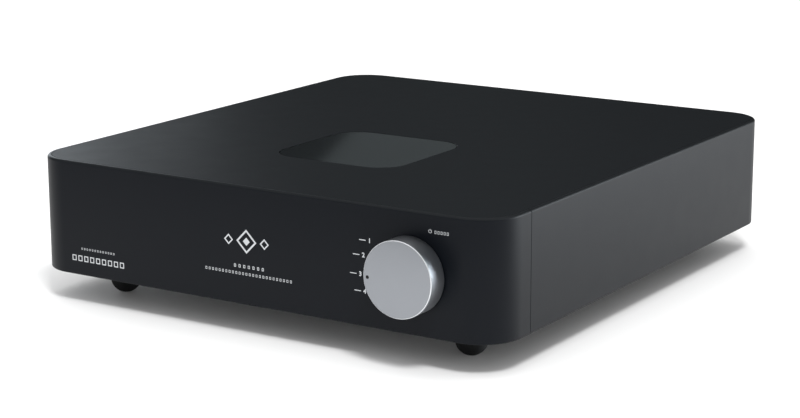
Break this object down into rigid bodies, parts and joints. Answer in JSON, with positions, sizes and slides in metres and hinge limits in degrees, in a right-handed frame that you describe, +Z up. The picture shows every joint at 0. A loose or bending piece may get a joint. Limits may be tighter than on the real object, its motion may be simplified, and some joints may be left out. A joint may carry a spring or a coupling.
{
  "type": "desktop dac",
  "caption": "Flat round-cornered desktop DAC with a glass window in its lid, a large source knob at the front, ball feet and audio sockets at the rear.",
  "frame": {"origin": "on the surface it stands on, below the centre of the box that holds the whole part", "axes": "+X to the right seen from the front, +Y to the back, +Z up"},
  "size_m": [0.35, 0.4046, 0.0945],
  "materials": {
    "anodised_black": "fine bead-blasted black anodising",
    "painted_black": "satin black powder coat",
    "silver_aluminium": "satin silver anodising, turned face",
    "smoked_glass": "polished smoked glass",
    "clear_glass": "clear blown glass",
    "foot_rubber": "matt black rubber",
    "zinc_steel": "bright zinc plate",
    "black_plastic": "fine-textured black plastic",
    "pale_ceramic": "unglazed off-white steatite",
    "circuit_board": "solder mask over woven laminate",
    "winding_tape": "amber polyester tape",
    "can_sleeve": "shrunk dark blue sleeve",
    "gold_plate": "polished gold plate",
    "white_plastic": "moulded white plastic",
    "red_plastic": "moulded red plastic",
    "grey_cable": "grey ribbon insulation",
    "blue_cable": "blue wire insulation"
  },
  "bodies": {
    "chassis": {"front_panel": "anodised_black", "rear_shell": "anodised_black", "rear_panel": "anodised_black", "regulator_heatsink": "anodised_black", "top_plate": "painted_black", "bottom_plate": "painted_black", "window_glass": "smoked_glass", "signal_tube_left": "clear_glass", "signal_tube_right": "clear_glass", "foot_front_left": "foot_rubber", "foot_front_right": "foot_rubber", "foot_rear_left": "foot_rubber", "foot_rear_right": "foot_rubber", "transformer_pad": "foot_rubber", "foot_screw_front_left": "zinc_steel", "foot_screw_front_right": "zinc_steel", "foot_screw_rear_left": "zinc_steel", "foot_screw_rear_right": "zinc_steel", "splice_plate_left": "zinc_steel", "splice_plate_right": "zinc_steel", "selector_nut": "zinc_steel", "selector_bushing": "zinc_steel", "transformer_clamp": "zinc_steel", "transformer_bolt": "zinc_steel", "transformer_nut": "zinc_steel", "data_socket": "zinc_steel", "window_frame": "black_plastic", "selector_body": "black_plastic", "mains_inlet": "black_plastic", "rocker_housing": "black_plastic", "optical_socket_1": "black_plastic", "optical_socket_2": "black_plastic", "coaxial_insert": "black_plastic", "tube_socket_left": "pale_ceramic", "tube_socket_right": "pale_ceramic", "front_board": "circuit_board", "tube_board": "circuit_board", "power_board": "circuit_board", "dac_board": "circuit_board", "mains_transformer": "winding_tape", "smoothing_capacitor_1": "can_sleeve", "smoothing_capacitor_2": "can_sleeve", "coaxial_jack": "gold_plate", "output_jack_left": "gold_plate", "output_jack_right": "gold_plate", "output_insert_left": "white_plastic", "output_insert_right": "red_plastic", "secondary_wiring": "red_plastic", "ribbon_cable": "grey_cable", "mains_wiring": "blue_cable"},
    "push_plunger": {"push_plunger": "white_plastic"},
    "source_knob": {"source_knob": "silver_aluminium", "selector_shaft": "zinc_steel", "knob_set_screw": "zinc_steel"},
    "power_rocker": {"power_rocker": "black_plastic"},
    "fuse_drawer": {"fuse_drawer": "black_plastic", "mains_fuse": "clear_glass"},
    "optical_shutter_1": {"optical_shutter_1": "black_plastic"},
    "optical_shutter_2": {"optical_shutter_2": "black_plastic"}
  },
  "joints": [
    {"name": "knob_press", "type": "slide", "parent": "chassis", "child": "push_plunger", "axis": [0, 1, 0], "range_m": [0, 0.001], "stiffness_N_per_m": 1500, "springref_m": -0.001},
    {"name": "knob_turn", "type": "hinge", "parent": "push_plunger", "child": "source_knob", "pos_m": [0.1174, -0.18625, 0.0568], "axis": [0, -1, 0], "range_deg": [-31, 26]},
    {"name": "rocker_tilt", "type": "hinge", "parent": "chassis", "child": "power_rocker", "pos_m": [-0.078, 0.1889, 0.057], "axis": [1, 0, 0], "range_deg": [0, 16]},
    {"name": "fuse_drawer_slide", "type": "slide", "parent": "chassis", "child": "fuse_drawer", "axis": [0, 1, 0], "range_m": [0, 0.019]},
    {"name": "shutter_1_swing", "type": "hinge", "parent": "chassis", "child": "optical_shutter_1", "pos_m": [0.042, 0.18655, 0.04085], "axis": [-1, 0, 0], "range_deg": [0, 82], "stiffness_Nm_per_rad": 0.0004, "springref_deg": -17.19},
    {"name": "shutter_2_swing", "type": "hinge", "parent": "chassis", "child": "optical_shutter_2", "pos_m": [0.062, 0.18655, 0.04085], "axis": [-1, 0, 0], "range_deg": [0, 82], "stiffness_Nm_per_rad": 0.0004, "springref_deg": -17.19}
  ]
}
